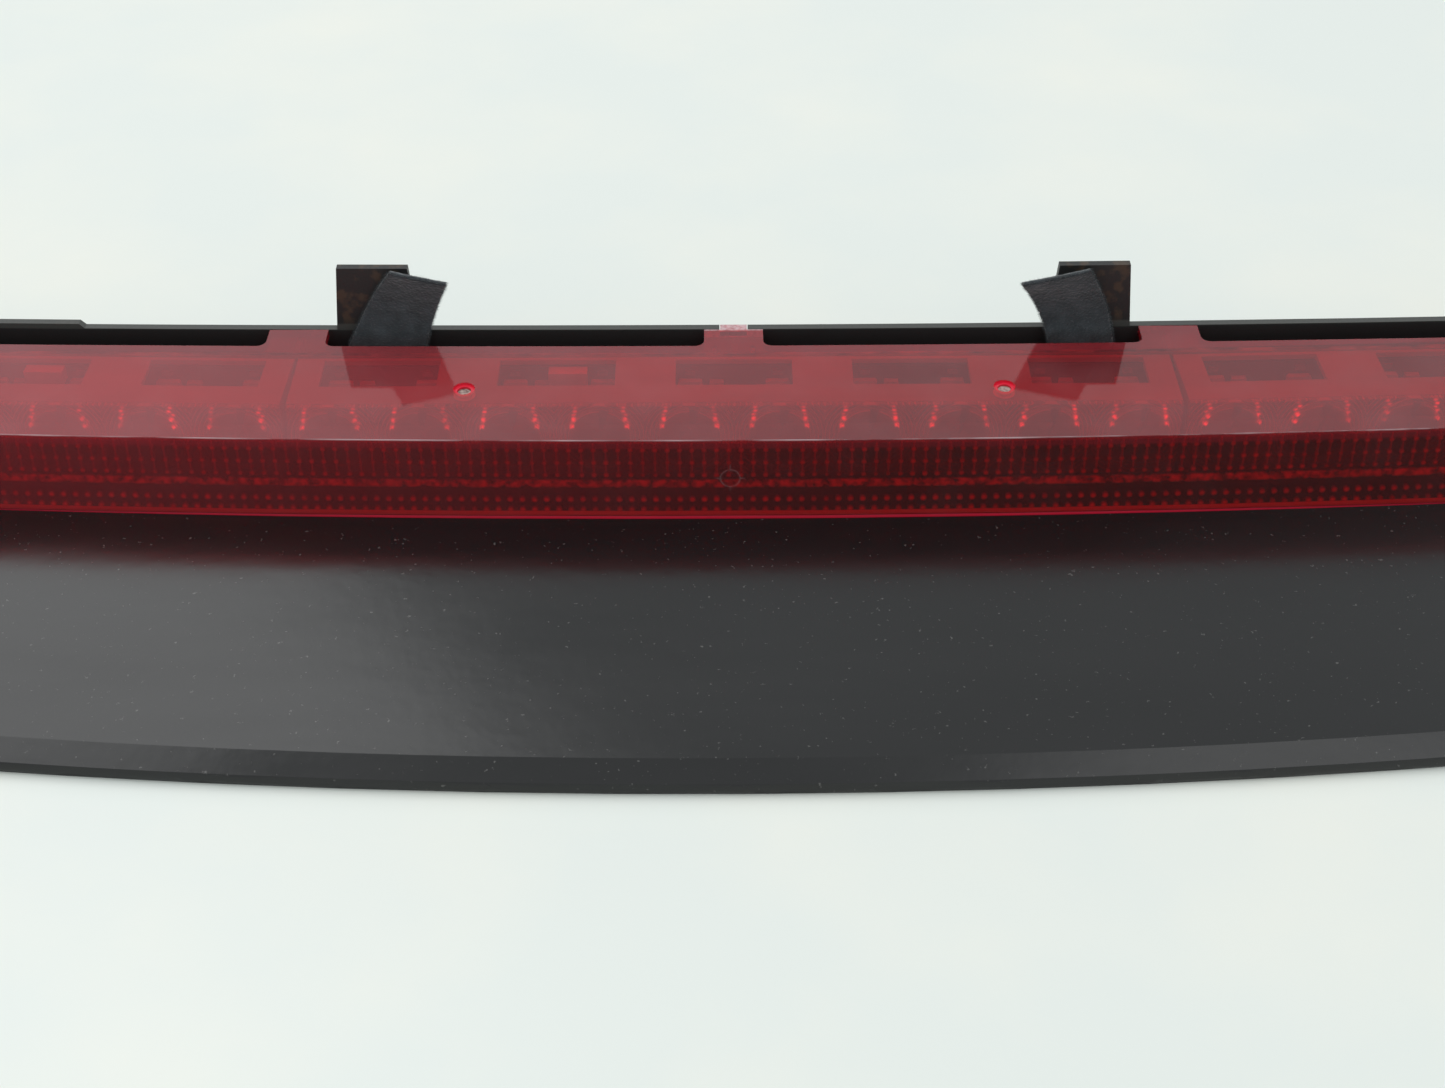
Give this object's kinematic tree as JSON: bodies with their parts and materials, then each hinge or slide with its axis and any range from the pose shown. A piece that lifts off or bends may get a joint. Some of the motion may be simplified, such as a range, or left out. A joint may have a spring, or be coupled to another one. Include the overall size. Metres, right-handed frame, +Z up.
{
  "type": "third brake light",
  "caption": "Wide high-mounted brake light: red lens over ring optics and LED boards in a black housing, with a gloss black trim panel in front.",
  "frame": {"origin": "centre of the footprint's box, on the surface that the lamp rests on", "axes": "+X along the lamp to the right seen from the lens side, +Y from the lip to the rear wall, +Z up"},
  "size_m": [0.885, 0.1794, 0.068],
  "materials": {
    "gloss_black_plastic": "high gloss, fine wiping scratches",
    "satin_black_plastic": "satin moulded texture",
    "red_lens": "clear red acrylic, polished",
    "sealant": "cured sealant bead",
    "chip": "moulded epoxy",
    "capacitor": "dipped film capacitor",
    "link": "nylon",
    "socket_plastic": "glass-filled nylon",
    "contact_metal": "tinned",
    "steel_screw": "zinc plated",
    "brass_insert": "turned",
    "foam_rubber": "closed-cell foam",
    "spring_steel": "blackened spring steel",
    "vent_rubber": "moulded",
    "felt": "fuzzy pile",
    "light_grey_plastic": "satin light grey",
    "clear_optic": "clear moulded optic",
    "board_laminate": "solder-masked laminate",
    "led_body": "clear epoxy on a pale base",
    "resistor": "ceramic chip",
    "diode": "moulded"
  },
  "bodies": {
    "root": {"trim_panel": "gloss_black_plastic", "lamp_housing": "satin_black_plastic", "lens": "red_lens", "lens_foot_seal": "sealant", "lens_rear_seal": "sealant", "driver_chips": "chip", "suppression_capacitors": "capacitor", "board_link_left": "link", "board_link_right": "link", "connector_socket": "socket_plastic", "connector_contacts": "contact_metal", "frame_screws": "steel_screw", "trim_screws": "steel_screw", "threaded_inserts": "brass_insert", "tower_seals": "foam_rubber", "spring_clips": "spring_steel", "vent_plug": "vent_rubber", "felt_strip_left": "felt", "felt_strip_right": "felt", "led_frame_left": "light_grey_plastic", "optic_strip_left": "clear_optic", "circuit_board_left": "board_laminate", "leds_left": "led_body", "resistors_left": "resistor", "diodes_left": "diode", "led_frame_centre": "light_grey_plastic", "optic_strip_centre": "clear_optic", "circuit_board_centre": "board_laminate", "leds_centre": "led_body", "resistors_centre": "resistor", "diodes_centre": "diode", "led_frame_right": "light_grey_plastic", "optic_strip_right": "clear_optic", "circuit_board_right": "board_laminate", "leds_right": "led_body", "resistors_right": "resistor", "diodes_right": "diode"}
  },
  "joints": []
}
